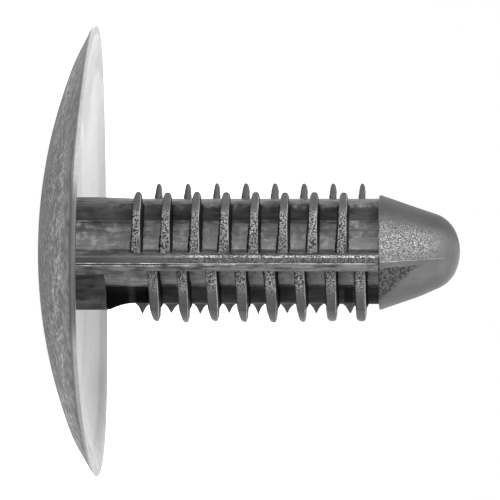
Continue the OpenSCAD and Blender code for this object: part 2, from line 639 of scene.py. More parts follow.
NYLON: dict[Finish, Nylon] = {
    # Dome: painted shading, darker by the rim and toward negative X, lighter toward positive X.
    Finish.DOME: Nylon(
        "nylon_dome", 0.19, 0.5, 0.85, 0.03, streak=(1.6, 1.6, 1.6), specular=0.4,
        grain_depth=0.035, grain_tone=0.6, grains=4.2, zone=Zone.DOME, painted_shade=0.45,
    ),
    # Underside: painted shading, darker by the land and lighter toward positive X.
    Finish.CUP: Nylon(
        "nylon_cup", 0.2, 0.2, 0.06, 0.0, streak=(0.3, 0.3, 0.3), coat=1.0, zone=Zone.CUP, painted_shade=0.6
    ),
    # Webs and fin sides: a darker grey than the core, painted shade; the outer part of the upper webs is
    # lifted as painted light.
    Finish.WALL: Nylon(
        "nylon_wall", 0.062, 0.45, 0.55, 0.008, specular=0.15,
        grain_depth=0.008, grain_tone=0.45, grains=2.6, zone=Zone.WEB_TOP, painted_light=0.45,
    ),
    Finish.CORE: Nylon(
        "nylon_core", 0.093, 0.36, 0.75, 0.014, streak=(4.0, 4.0, 0.6), specular=1.0,
        grain_depth=0.014, grain_tone=0.45, grains=2.0,
    ),
    # Grained fronts of the front fins: painted shade at their tips, painted highlight high on the upper fins.
    Finish.EDGE: Nylon(
        "nylon_grained_edge", 0.115, 0.42, 0.1, 0.003, specular=0.4,
        grain_depth=0.05, grain_tone=1.05, grains=10.5, zone=Zone.FIN_FRONT, painted_shade=0.6,
    ),
    Finish.RIB: Nylon(
        "nylon_rib", 0.056, 0.42, 0.15, 0.003,
        grain_depth=0.04, grain_tone=0.8, grains=10.0, zone=Zone.UPPER_STEM,
    ),
    Finish.LAND: Nylon("nylon_land", 0.09, 0.4, 0.9, 0.012, streak=(6.0, 6.0, 0.8)),
    # Nose: painted highlight over its grained sides and painted shade toward its top; its pits are the
    # mould's.
    Finish.NOSE: Nylon(
        "nylon_nose", 0.105, 0.45, 0.12, 0.002, specular=0.45,
        grain_depth=0.03, grain_tone=0.8, grains=11.0, zone=Zone.NOSE_SIDES, painted_light=0.6,
    ),
    # Flash along the parting line: pale grey, a painted highlight.
    Finish.FLASH: Nylon("nylon_flash", 0.58, 0.35, 0.5, 0.004, streak=(1, 1, 1.5)),
    # Upper corner of the ribs: painted highlight, stronger further up the stem and dimmer by the head.
    Finish.CORNER: Nylon(
        "nylon_corner", 0.1, 0.4, 0.2, 0.004, specular=0.8,
        grain_depth=0.03, grain_tone=1.0, grains=9.5, zone=Zone.UPPER_STEM, painted_light=1.6, painted_shade=0.5,
    ),
    # Neck and the groove by the flash: near black, painted shade, with a lighter middle band, painted light.
    Finish.NECK: Nylon("nylon_neck", 0.003, 0.3, 0.3, 0.004, specular=0.03, zone=Zone.NECK, painted_light=12.0),
    # Smooth edges of the far fins: darker than the front fins' edges, painted shade.
    Finish.TIP: Nylon("nylon_tip", 0.06, 0.4, 0.2, 0.006, specular=0.45),
    # Flanks and outer edge strips of the front fins and the end of the web's foot: near black, painted shade.
    Finish.SEAM: Nylon("nylon_seam", 0.02, 0.5, 0.3, 0.004, specular=0.1),
    # Edge and land of the rim: painted light at both sides of the head.
    Finish.LIP: Nylon("nylon_lip", 0.07, 0.35, 0.1, 0.002, coat=0.3, zone=Zone.TIPS, painted_light=5.0),
    # Strip along the front fins' edges: pale, a painted highlight.
    Finish.RIDGE: Nylon("nylon_ridge", 0.26, 0.4, 0.6, 0.004, streak=(2.0, 2.0, 2.0)),
    # Outer rounding of the rim: painted light at both sides of the head.
    Finish.BRINK: Nylon("nylon_brink", 0.08, 0.4, 0.1, 0.002, specular=0.2, zone=Zone.TIPS, painted_light=1.6),
}
FINISHES: dict[Finish, bpy.types.Material] = {}


# Parts of the moulding


@dataclass
class Head:
    """Domed umbrella head: thin shell with a rounded rim and a flat land round its underside. Sizes in mm."""

    diameter: float = 29.988
    dome_radius: float = 36.0
    crown: float = 4.4
    rim: float = 0.4
    land: float = 0.5
    thickness: float = 1.2
    ring_at: float = 10.4
    ring_step: float = 0.03
    ring_width: float = 0.9
    saddle: float = 0.2225
    lean: float = -0.135
    sink: float = -0.0225
    thinned: Point = (0.16, 0.28)
    thin_out: Point = (12.4, 15.0)
    thin_aside: Point = (7.0, 13.5)
    around: int = 192

    @property
    def dome_z(self) -> float:
        """Height of the dome's centre."""
        return math.sqrt(self.dome_radius**2 - self.crown**2 / 4)

    @property
    def seat(self) -> float:
        """Height of the land."""
        return self.dome_height(self.diameter / 2) + self.rim

    @property
    def cup_radius(self) -> float:
        """Radius of the hollow underside."""
        chord, rise = self.diameter / 2 - self.land, self.seat - self.thickness
        return (chord * chord + rise * rise) / (2 * rise)

    def dome_height(self, r: float) -> float:
        """Height of the dome at a radius."""
        return self.dome_z - math.sqrt(self.dome_radius**2 - r * r)

    def cup_height(self, r: float) -> float:
        """Height of the underside at a radius, with the shallow ring that the mould's insert leaves."""
        ring = self.ring_step * (float(ease(self.ring_at - self.ring_width, self.ring_at, r)) - 1)
        return self.thickness + self.cup_radius - math.sqrt(self.cup_radius**2 - r * r) + ring

    def build(self) -> Shell:
        """Turns the head's half section.

        Returns:
            The closed shell of the head.
        """
        edge = self.diameter / 2
        inner = edge - self.land
        dome = [(r, self.dome_height(r)) for r in np.linspace(self.crown / 2, edge - 0.35, 26)]
        ring = [self.ring_at - self.ring_width * k / 8 for k in range(9)]
        places = {*np.linspace(inner - 0.3, 0.6, 26), *ring}
        cup = [(r, self.cup_height(r)) for r in sorted(places, reverse=True)]
        corners = [dome[-1], (edge, self.dome_height(edge)), (edge, self.seat), (inner, self.seat), cup[0]]
        rim = rounded(corners, [0, 0.35, 0.04, 0.25, 0])
        profile = [(0.0, 0.0), *dome, *rim[1:-1], *cup, (0.0, self.cup_height(0.0))]
        # The rim's outer rounding, edge and land carry painted light.
        finishes = [Finish.DOME] * (len(dome) + 3) + [Finish.BRINK] * 2 + [Finish.LIP] * (len(rim) - 9)
        finishes += [Finish.CUP] * (len(profile) - 1 - len(finishes))
        shell = turned("head", profile, finishes, self.around)
        shell.points = [self.warped(self.drawn_thin(p)) for p in shell.points]
        return shell

    def drawn_thin(self, point: Sequence[float]) -> Triple:
        """Raises the dome's outermost band at both sides, where the rim is thinner."""
        x, y, z = point
        r = math.hypot(x, y)
        height = np.clip((self.seat - z) / self.rim, 0.0, 1.0)
        most = self.thinned[0] if x < 0 else self.thinned[1]
        return x, y, z + most * float(height * ease(*self.thin_out, r) * ease(*self.thin_aside, abs(x)))

    def warped(self, point: Sequence[float]) -> Triple:
        """Moves a point as the cooling head warped: up at both sides, down at front and back."""
        x, y, z = point
        edge = self.diameter / 2
        share = (x * x + y * y) / edge**2
        if share < 1e-9:
            return x, y, z
        twice = (x * x - y * y) / (x * x + y * y)
        side = y / math.hypot(x, y)
        return x, y, max(0.0, z + share * (self.sink + self.saddle * twice + self.lean * side))


@dataclass
class Stem:
    """Round core with two ribs in the parting plane and two drafted webs. Sizes in mm."""

    head: Head
    core: float = 4.8
    rib_width: float = 8.5
    rib_thickness: float = 1.08
    web_width: float = 7.0
    web_thickness: float = 1.9
    draft: float = 2.5
    root_out: float = 0.75
    root_most: float = 0.43
    root_height: float = 0.5
    root_length: float = 2.2
    step: float = 0.03
    top: float = 22.52
    root_fillet: float = 0.13
    web_corner: float = 0.49
    crease: float = 0.12
    taper: float = 0.09
    neck: float = 0.55
    neck_start: float = 4.38
    neck_end: float = 7.3
    block_half: float = 1.5
    block_reach: float = 3.7
    groove: float = 0.05
    groove_end: float = 9.0
    fin_levels: tuple[float, ...] = tuple(
        first + FIN_PITCH * k for k in range(8) for first in (FIN_FIRST, FIN_SHIFTED)
    )

    @property
    def web_tip(self) -> float:
        """Half thickness of a web at its outer edge."""
        return self.web_thickness / 2 - self.web_width / 2 * math.tan(math.radians(self.draft))

    def section_distance(self, x: np.ndarray, y: np.ndarray) -> np.ndarray:
        """Distance from the stem's outline, negative inside it.

        Args:
            x: Places along the webs.
            y: Places along the ribs.

        Returns:
            The distance in millimetres.
        """
        x, y = np.abs(x), np.abs(y)
        slope = math.tan(math.radians(self.draft))
        core = np.hypot(x, y) - self.core / 2
        rib = np.maximum(x - self.rib_thickness / 2, y - self.rib_width / 2)
        web = np.maximum(y - (self.web_thickness / 2 - slope * x), x - self.web_width / 2)
        return np.minimum(np.minimum(core, rib), web)

    def quarter(self) -> list[Point]:
        """Rounded outline of the quarter from the middle of a web's edge to the middle of a rib's edge."""
        r = self.core / 2
        slope = math.tan(math.radians(self.draft))
        web_x = r
        for _ in range(20):
            web_x = math.sqrt(r * r - (self.web_thickness / 2 - slope * web_x) ** 2)
        web_y = self.web_thickness / 2 - slope * web_x
        rib_x = self.rib_thickness / 2
        rib_y = math.sqrt(r * r - rib_x * rib_x)
        from_web, to_rib = math.atan2(web_y, web_x), math.atan2(rib_y, rib_x)
        core = arc((0, 0), r, math.degrees(from_web), math.degrees(to_rib), 8)
        web_end, rib_end = self.web_width / 2, self.rib_width / 2
        corners = [(web_end, 0.0), (web_end, self.web_tip), *core, (rib_x, rib_end), (0.0, rib_end)]
        radii = [0.0] * len(corners)
        radii[1], radii[2], radii[len(corners) - 3], radii[-2] = self.web_corner, self.crease, 0.15, 0.14
        return rounded(corners, radii, 5)

    def outline(self) -> np.ndarray:
        """Whole outline of the stem, counter-clockwise, with the mould halves' slight step at the ribs."""
        quarter = np.array(self.quarter())
        right = np.vstack([quarter[::-1][:-1] * (1, -1), quarter])
        low = right.copy()
        low[:, 1] -= np.where(np.abs(low[:, 1]) > 3.2, self.step, 0.0) * np.sign(low[:, 1])
        beside = np.array([(x, low[-1, 1]) for x in (0.15, 0.13, 0.07, 0.05)])
        low = np.vstack([low[:1], beside[::-1] * (1, -1), low[1:-1], beside, low[-1:]])
        return np.vstack([low, right[::-1] * (-1, 1)])

    def root(self, z: np.ndarray) -> np.ndarray:
        """How far the broader root stands out at a height."""
        base = self.head.seat + self.root_height
        radius = (self.root_length**2 + self.root_out**2) / (2 * self.root_out)
        away = np.clip(base + self.root_length - z, 0.0, self.root_length)
        return radius - np.sqrt(radius**2 - away**2)

    def ring(self, outline: np.ndarray, z: float) -> np.ndarray:
        """Outline at a height, with the broader root, the neck, the webs' taper and the groove by the flash.

        Args:
            outline: The plain outline.
            z: The height.

        Returns:
            The outline's points along X and Y.
        """
        ring = outline.copy()
        x, y = ring[:, 0], ring[:, 1]
        inner, outer = self.core / 2 - 0.1, self.web_width / 2
        along = np.clip((np.abs(x) - inner) / (outer - inner), 0.0, 1.0)
        opened = ease(self.neck_start, self.neck_start + 0.08, z)
        waist = self.neck * (opened - ease(self.neck_end - 0.2, self.neck_end, z))
        y_new = y * (1 - waist * ease(inner - 0.05, inner + 0.2, x))
        spread = min(float(self.root(np.array(z))), self.root_most)
        slim = self.taper * (1 - ease(4.0, 7.0, z))
        ring[:, 0] = x + np.where(x > 0, spread * along, -slim * along)
        bottom = (np.abs(y) > self.rib_width / 2 - 0.1) & (x > 0.06) & (x < 0.14)
        deep = self.groove * (1 - ease(self.groove_end - 3.0, self.groove_end, z))
        ring[:, 1] = y_new - np.where(bottom, deep * np.sign(y), 0.0)
        return ring

    def foot(self, outline: np.ndarray) -> list[np.ndarray]:
        """Rings of the stem's foot, from inside the head up the fillet on its underside.

        Args:
            outline: The plain outline.

        Returns:
            The points of each ring along X, Y and Z.
        """
        low = self.ring(outline, self.head.thickness)
        after, before = np.roll(low, -1, axis=0), np.roll(low, 1, axis=0)
        along = after - before
        normal = np.stack([along[:, 1], -along[:, 0]], axis=1)
        normal /= np.linalg.norm(normal, axis=1)[:, None]
        fillet = self.root_fillet
        rows: list[np.ndarray] = []
        for rise in (None, 0.0, 0.015, 0.04, 0.08, 0.13):
            out = fillet - math.sqrt(max(fillet**2 - (fillet - (rise or 0.0)) ** 2, 0.0))
            ring = low + normal * out
            radius = np.hypot(ring[:, 0], ring[:, 1])
            cup = np.array([self.head.cup_height(r) for r in radius])
            z = np.full(len(ring), self.head.thickness * 0.6) if rise is None else cup + rise
            rows.append(np.column_stack([ring, z]))
        return rows

    def finish(self, one: np.ndarray, other: np.ndarray, z: float) -> Finish:
        """Chooses the finish of the face between two neighbours on the outline.

        Args:
            one: The first point of the plain outline.
            other: The next point.
            z: Height of the face's lower edge.

        Returns:
            The finish.
        """
        across = one[0] + other[0]
        rib_edge = self.rib_width / 2 - 0.16
        if min(abs(one[1]), abs(other[1])) > rib_edge:
            # Upper corner of a rib: painted highlight.
            if across < -0.5 * self.rib_thickness - 0.3:
                return Finish.CORNER
            # Groove by the flash near the head: painted shade.
            if z < self.groove_end - 1.2 and 0.11 < across < 0.29:
                return Finish.NECK
            return Finish.RIB if across < 0 else Finish.LAND
        # Neck: painted shade.
        in_neck = self.neck_start - 0.01 < z < self.neck_end - 0.01
        if in_neck and min(one[0], other[0]) > self.core / 2 - 0.25:
            return Finish.NECK
        if max(one[0], other[0]) < 0.2 - self.web_width / 2:
            return Finish.LAND
        if max(abs(one[0]), abs(other[0])) < 0.9 and across < 0:
            return Finish.CORE
        if max(np.hypot(*one), np.hypot(*other)) < self.core / 2 + 0.02:
            return Finish.CORE
        # Webs: the darker grey, painted shade.
        return Finish.WALL

    def build(self) -> Shell:
        """Lofts the outline from inside the head to the shoulder of the nose.

        Returns:
            The closed shell of the stem.
        """
        shell = Shell("stem")
        outline = self.outline()
        base = self.head.seat + self.root_height
        rows = self.foot(outline)
        heights = {*np.linspace(base, base + self.root_length, 10), *self.fin_levels, self.top + 0.015}
        heights |= {self.neck_start + k for k in (0.0, 0.03, 0.05, 0.08)}
        heights |= {self.neck_end - k for k in (0.2, 0.15, 0.1, 0.05, 0.0)}
        for z in sorted(heights):
            rows.append(np.column_stack([self.ring(outline, z), np.full(len(outline), z)]))
        rings = [shell.add_points(row) for row in rows]
        count = len(outline)
        for low_ring, high_ring, low_row in zip(rings, rings[1:], rows):
            for i in range(count):
                j = (i + 1) % count
                finish = self.finish(outline[i], outline[j], low_row[0, 2])
                shell.add_face((low_ring[i], low_ring[j], high_ring[j], high_ring[i]), finish)
        shell.add_face(rings[0][::-1], Finish.WALL)
        shell.add_face(rings[-1], Finish.WALL)
        return shell

    def block(self) -> Shell:
        """Builds the thick foot of the lower web, which stands on the head.

        Returns:
            The closed shell of the foot.
        """
        shell = Shell("root_block")
        half, reach = self.block_half, self.block_reach
        bend = [(0.9, 2.2), (1.25, 2.06), (1.6, 1.84), (2.0, 1.66), (2.6, half + 0.02), (reach, half - 0.1)]
        side = [(x, -y) for x, y in bend] + bend[::-1]
        outline = np.array(rounded(side, [0.0] * 5 + [0.3, 0.3] + [0.0] * 5, 6))
        middle = np.array([reach / 2, 0.0])
        rows = [(0.0, self.head.thickness * 0.6), (0.0, self.neck_start - 0.04), (0.04, self.neck_start)]
        rings = []
        for inset, z in rows:
            shrink = 1 - inset / np.array([reach / 2, half])
            ring = middle + (outline - middle) * shrink
            rings.append(shell.add_points(np.column_stack([ring, np.full(len(ring), z)])))
        for low_ring, high_ring in zip(rings, rings[1:]):
            for i in range(len(outline)):
                j = (i + 1) % len(outline)
                # The foot's flat end is near black, painted shade.
                finish = Finish.SEAM if min(outline[i, 0], outline[j, 0]) > reach - 0.02 else Finish.WALL
                shell.add_face((low_ring[i], low_ring[j], high_ring[j], high_ring[i]), finish)
        shell.add_face(rings[0][::-1], Finish.WALL)
        shell.add_face(rings[-1], Finish.WALL)
        return shell


@dataclass(frozen=True)
class FinRow:
    """One row of fins: its quarter, its place along the stem and how the mould filled it. Sizes in mm."""

    name: str
    side_x: int
    side_y: int
    first: float
    count: int
    ear: float
    radius: float
    thickness: Point
    lean: float
    fillet: float
    edge: Finish
    uneven: Triple
    seed: int
    taper_from: float = 0.0
    waist: float = 0.0
    thorn: float = 0.0


@dataclass
class Fins:
    """Rows of thin fins in the four quarters round the stem. Sizes in mm."""

    stem: Stem
    pitch: float = FIN_PITCH
    flat: float = 6.66
    rows: tuple[FinRow, ...] = (
        FinRow(
            "fins_front_high", -1, -1, FIN_FIRST, 8, ear=1.5, radius=4.62, thickness=(0.7, 0.52), lean=0.14,
            fillet=0.16, edge=Finish.EDGE, uneven=(0.01, 0.01, 0.06), seed=3, waist=0.06,
        ),
        FinRow(
            "fins_front_low", 1, -1, FIN_SHIFTED, 6, ear=0.95, radius=4.72, thickness=(0.7, 0.4), lean=0.22,
            fillet=0.13, edge=Finish.EDGE, uneven=(0.012, 0.012, 0.06), seed=5, taper_from=2.9,
        ),
        FinRow(
            "fins_front_low_end", 1, -1, 19.4366, 2, ear=0.95, radius=4.66, thickness=(0.72, 0.66), lean=0.06,
            fillet=0.13, edge=Finish.EDGE, uneven=(0.0, 0.0, 0.03), seed=6,
        ),
        FinRow(
            "fins_back_high", -1, 1, FIN_SHIFTED, 8, ear=1.5, radius=4.6, thickness=(0.67, 0.26), lean=0.04,
            fillet=0.14, edge=Finish.TIP, uneven=(0.006, 0.006, 0.1), seed=7, thorn=0.05,
        ),
        FinRow(
            "fins_back_low", 1, 1, FIN_FIRST, 7, ear=0.95, radius=4.58, thickness=(0.74, 0.16), lean=0.0,
            fillet=0.2, edge=Finish.TIP, uneven=(0.014, 0.014, 0.22), seed=9, thorn=0.38,
        ),
        FinRow(
            "fins_back_low_end", 1, 1, 20.5766, 1, ear=0.95, radius=4.56, thickness=(0.74, 0.2), lean=0.4,
            fillet=0.2, edge=Finish.TIP, uneven=(0.0, 0.0, 0.05), seed=8, thorn=0.35,
        ),
    )

    def border(self, row: FinRow) -> np.ndarray:
        """Outer border of one fin, from inside the rib round to inside the web.

        Args:
            row: The row that the fin stands in.

        Returns:
            The border's points along X and Y.
        """
        half = self.flat / 2
        start = math.degrees(math.atan2(half, math.sqrt(row.radius**2 - half**2)))
        end = math.degrees(math.asin(row.ear / row.radius))
        rim = arc((0, 0), row.radius, start, end, 9)
        web = (self.stem.web_width / 2 - 0.2, self.stem.web_tip - 0.2)
        corners = [(0.2, half), *rim, web]
        radii = [0.0, 0.22, *([0.0] * (len(rim) - 2)), min(0.36, row.thickness[1]), 0.0]
        return np.array(rounded(corners, radii, 4))

    def half_thickness(self, row: FinRow, place: np.ndarray) -> np.ndarray:
        """Half the fin's drafted thickness, with the swelling where it leaves the web's edge.

        Args:
            row: The row that the fin stands in.
            place: Points along X and Y.

        Returns:
            Half the thickness at each point.
        """
        x, y = place[:, 0], place[:, 1]
        root, tip = row.thickness
        end = float(self.border(row)[:, 0].max()) - 0.04
        along = np.clip((x - row.taper_from) / (end - row.taper_from), 0, 1)
        plain = (root - (root - tip) * along - row.waist * (ease(1.0, 2.4, x) - ease(2.6, 3.6, x))) / 2
        rounding = 0.5 * tip + 0.14
        plain = plain * np.sqrt(np.maximum(1 - np.clip((x - end) / rounding + 1, 0, 1) ** 2, 0.02))
        past = x - 0.19 * y - self.stem.web_width / 2
        swell = np.clip(1 - past / 0.9, 0, 1.2) ** 3 * ease(-0.9, -0.1, past) * (1 - ease(1.9, 2.8, y))
        return plain + row.thorn * swell

    @staticmethod
    def centre(row: FinRow, x: np.ndarray) -> np.ndarray:
        """Height of the fin's middle, which leans toward the nose at its tip."""
        end = math.sqrt(row.radius**2 - row.ear**2)
        return -row.lean * (1 - np.clip(x / end, 0, 1))

    def fine_border(self, row: FinRow) -> tuple[np.ndarray, np.ndarray]:
        """Border of one fin in short steps, shorter at its tip.

        Args:
            row: The row that the fin stands in.

        Returns:
            The border's points along X and Y, and the direction straight out at each.
        """
        border = self.border(row)
        end = math.sqrt(row.radius**2 - row.ear**2)
        fine = [border[0]]
        for a, b in zip(border, border[1:]):
            longest = 0.06 if max(a[0], b[0]) > end - 0.4 else 0.3
            parts = max(1, int(np.ceil(np.linalg.norm(b - a) / longest)))
            fine.extend(a + (b - a) * k / parts for k in range(1, parts + 1))
        points = np.array(fine)
        along = np.gradient(points, axis=0)
        out = np.stack([along[:, 1], -along[:, 0]], axis=1)
        out /= np.linalg.norm(out, axis=1)[:, None]
        out *= np.sign(np.sum(out * points, axis=1))[:, None]
        return points, out

    def rooted(self, unit: np.ndarray, reach: np.ndarray) -> np.ndarray:
        """Finds where the fin starts, just inside the stem.

        Args:
            unit: Directions from the axis.
            reach: Distance of the fin's edge along each.

        Returns:
            Distance of the fin's root along each.
        """
        probe = np.linspace(0.3, 1.0, 141)
        inside = np.empty(len(reach))
        for i, (u, far) in enumerate(zip(unit, reach)):
            places = u[None, :] * (probe * far)[:, None]
            depth = self.stem.section_distance(places[:, 0], places[:, 1])
            within = np.nonzero(depth < -0.12)[0]
            inside[i] = probe[within[-1]] * far if len(within) else 0.5 * far
        return np.minimum(inside, reach - 0.05)

    def one(self, row: FinRow) -> Shell:
        """Builds one fin about height 0, in the quarter of positive X and Y.

        Args:
            row: The row that the fin stands in.

        Returns:
            The closed shell of the fin, with fillets where it meets the stem.
        """
        shell = Shell(row.name)
        border, out = self.fine_border(row)
        half = self.half_thickness(row, border)
        edge = np.minimum(0.12 if row.edge is Finish.EDGE else 0.3, half - 0.004)
        inset = border - out * edge[:, None]
        reach = np.linalg.norm(inset, axis=1)
        unit = inset / reach[:, None]
        inside = self.rooted(unit, reach)
        steps = np.array([0, 0.05, 0.08, 0.11, 0.15, 0.2, 0.3, 0.45, 0.65, 0.85, 1.0])
        sides: list[list[list[int]]] = []
        for sign in (1, -1):
            rings: list[list[int]] = []
            for t in steps:
                r = inside + (reach - inside) * t
                flat = unit * r[:, None]
                gap = np.clip(self.stem.section_distance(flat[:, 0], flat[:, 1]), 0.0, row.fillet)
                flare = row.fillet - np.sqrt(row.fillet**2 - (row.fillet - gap) ** 2)
                flare *= 1 - ease(0.7, 1.0, t)
                z = sign * (self.half_thickness(row, flat) + flare) + self.centre(row, flat[:, 0])
                rings.append(shell.add_points(np.column_stack([flat, z])))
            for low, high in zip(rings, rings[1:]):
                shell.bridge(low, high, Finish.WALL, closed=False)
            sides.append(rings)
        above, below = sides
        rim = [above[-1]]
        last = np.array([shell.points[i][2] for i in above[-1]]) - self.centre(row, inset[:, 0])
        for angle in np.radians([60, 30, 0, -30, -60]):
            place = inset + out * (edge * math.cos(angle))[:, None]
            level = last - edge
            z = math.copysign(1, angle) * level * (abs(angle) > 1e-6) + edge * math.sin(angle)
            rim.append(shell.add_points(np.column_stack([place, z + self.centre(row, inset[:, 0])])))
        rim.append(below[-1])
        # On the front fins the outer strips of the edge are near black, painted shade, and the next strip is
        # pale, a painted highlight.
        strips = {0: Finish.SEAM, 1: Finish.RIDGE, 5: Finish.SEAM} if row.edge is Finish.EDGE else {}
        for k, (low, high) in enumerate(zip(rim, rim[1:])):
            shell.bridge(low, high, strips.get(k, row.edge), closed=False)
        shell.bridge(above[0], below[0], Finish.WALL, closed=False)
        for last_one in (0, -1):
            loop = [ring[last_one] for ring in above] + [ring[last_one] for ring in rim[1:-1]]
            loop += [ring[last_one] for ring in below[::-1]]
            shell.add_face(loop, Finish.WALL)
        return shell

    def tree(self) -> bpy.types.NodeTree:
        """Builds the Geometry Nodes tree that sets a fin in a row along the stem."""
        tree = bpy.data.node_groups.new("fin_row", "GeometryNodeTree")
        sockets = {
            "Fin": "NodeSocketGeometry",
            "Count": "NodeSocketInt",
            "Pitch": "NodeSocketFloat",
            "First Height": "NodeSocketFloat",
            "Quarter": "NodeSocketVector",
            "Mirrored": "NodeSocketBool",
            "Seed": "NodeSocketInt",
            "Uneven": "NodeSocketVector",
            "Face Finish": "NodeSocketMaterial",
            "Edge Finish": "NodeSocketMaterial",
            "Seam Finish": "NodeSocketMaterial",
            "Ridge Finish": "NodeSocketMaterial",
        }
        for name, kind in sockets.items():
            tree.interface.new_socket(name, in_out="INPUT", socket_type=kind)
        tree.interface.new_socket("Row", in_out="OUTPUT", socket_type="NodeSocketGeometry")
        nodes = Nodes(tree)
        given = nodes.add("NodeGroupInput").outputs
        step = nodes.add("ShaderNodeCombineXYZ", {"Z": given["Pitch"]}).outputs[0]
        start = nodes.add("ShaderNodeCombineXYZ", {"Z": given["First Height"]}).outputs[0]
        ends = {"Count": given["Count"], "Start Location": start, "Offset": step}
        line = nodes.add("GeometryNodeMeshLine", ends)
        placed = nodes.add("GeometryNodeTransform", {"Geometry": given["Fin"], "Scale": given["Quarter"]})
        turned_over = {"Mesh": placed.outputs[0], "Selection": given["Mirrored"]}
        outward = nodes.add("GeometryNodeFlipFaces", turned_over)
        sizes = {0: (1, 1, 1), 1: given["Uneven"]}
        least = nodes.add("ShaderNodeVectorMath", sizes, operation="SUBTRACT").outputs[0]
        most = nodes.add("ShaderNodeVectorMath", sizes, operation="ADD").outputs[0]
        span = {0: least, 1: most, "Seed": given["Seed"]}
        vary = nodes.add("FunctionNodeRandomValue", span, data_type="FLOAT_VECTOR")
        row = nodes.add(
            "GeometryNodeInstanceOnPoints",
            {"Points": line.outputs[0], "Instance": outward.outputs[0], "Scale": vary.outputs[0]},
        )
        real = nodes.add("GeometryNodeRealizeInstances", {"Geometry": row.outputs[0]})
        feeds = {"Geometry": real.outputs[0], "Material": given["Face Finish"]}
        skin = nodes.add("GeometryNodeSetMaterial", feeds)
        # Grained edges, then the painted shade, then the painted highlight strip.
        for mark, finish in (("grained", "Edge Finish"), ("seam", "Seam Finish"), ("ridge", "Ridge Finish")):
            marked = nodes.add("GeometryNodeInputNamedAttribute", {"Name": mark}, data_type="BOOLEAN")
            chosen = marked.outputs["Attribute"]
            feeds = {"Geometry": skin.outputs[0], "Selection": chosen, "Material": given[finish]}
            skin = nodes.add("GeometryNodeSetMaterial", feeds)
        nodes.add("NodeGroupOutput", {"Row": skin.outputs[0]})
        return tree

    def build(self) -> list[bpy.types.Object]:
        """Sets the fins of every row.

        Returns:
            One object for each row.
        """
        tree = self.tree()
        made = []
        for row in self.rows:
            thing = self.one(row).thing()
            modifier = thing.modifiers.new("row", "NODES")
            modifier.node_group = tree
            values = {
                "Count": row.count,
                "Pitch": self.pitch * MM,
                "First Height": row.first * MM,
                "Quarter": (float(row.side_x), float(row.side_y), 1.0),
                "Mirrored": row.side_x * row.side_y < 0,
                "Seed": row.seed,
                "Uneven": row.uneven,
                # The front fins' flanks are near black, painted shade.
                "Face Finish": FINISHES[Finish.SEAM if row.edge is Finish.EDGE else Finish.WALL],
                "Edge Finish": FINISHES[row.edge],
                "Seam Finish": FINISHES[Finish.SEAM],
                "Ridge Finish": FINISHES[Finish.RIDGE],
            }
            for item in tree.interface.items_tree:
                if item.item_type == "SOCKET" and item.in_out == "INPUT" and item.name in values:
                    modifier[item.identifier] = values[item.name]
            made.append(baked(thing))
        return made


@dataclass
class Nose:
    """Blunt cone nose with a rounded crown. Sizes in mm."""

    base: float = 22.52
    length: float = 5.3664
    half_angle: float = 19.0
    crown: float = 3.2
    corner: float = 2.2
    blend: float = 24.0
    bulge: float = 0.13
    around: int = 120

    def profile(self) -> list[Point]:
        """Half section from the middle of the shoulder to the tip."""
        top = self.base + self.length
        turn = math.radians(self.blend)
        steep = 90 - self.half_angle
        ball, inward = top - self.crown, self.crown - self.corner
        centre = (inward * math.sin(turn), ball + inward * math.cos(turn))
        tip = [(self.crown * math.sin(a), ball + self.crown * math.cos(a)) for a in np.linspace(0, turn, 8)]
        bend = [
            (centre[0] + self.corner * math.sin(a), centre[1] + self.corner * math.cos(a))
            for a in np.radians(np.linspace(self.blend, steep, 14))
        ]
        end_r, end_z = bend[-1]
        reach = end_r + (end_z - self.base) * math.tan(math.radians(self.half_angle))
        cone = [
            (reach + (end_r - reach) * t, self.base + (end_z - self.base) * t)
            for t in np.linspace(0, 1, 9)
        ]
        shoulder = rounded([(0.8 * reach, self.base), cone[0], cone[1]], [0, 0.09, 0])
        return [(0.0, self.base), *shoulder[:-1], *cone[1:], *bend[::-1][1:], *tip[::-1][1:]]

    def radius(self, z: float) -> float:
        """Radius of the nose at a height."""
        side = [p for p in self.profile() if p[0] > 0.0 and p[1] > self.base + 0.05]
        return float(np.interp(z, [p[1] for p in side], [p[0] for p in side]))

    def build(self) -> Shell:
        """Turns the nose's half section.

        Returns:
            The closed shell of the nose.
        """
        profile = self.profile()
        shell = turned("nose", profile, [Finish.NOSE] * (len(profile) - 1), self.around)
        shell.points = [self.filled(p) for p in shell.points]
        return shell

    def filled(self, point: Sequence[float]) -> Triple:
        """Moves a point of the lower side out, where the nose came out fuller."""
        x, y, z = point
        out = max(x, 0.0) / max(math.hypot(x, y), 1e-9)
        return x + self.bulge * out * float(1 - ease(25.0, 26.6, z)), y, z


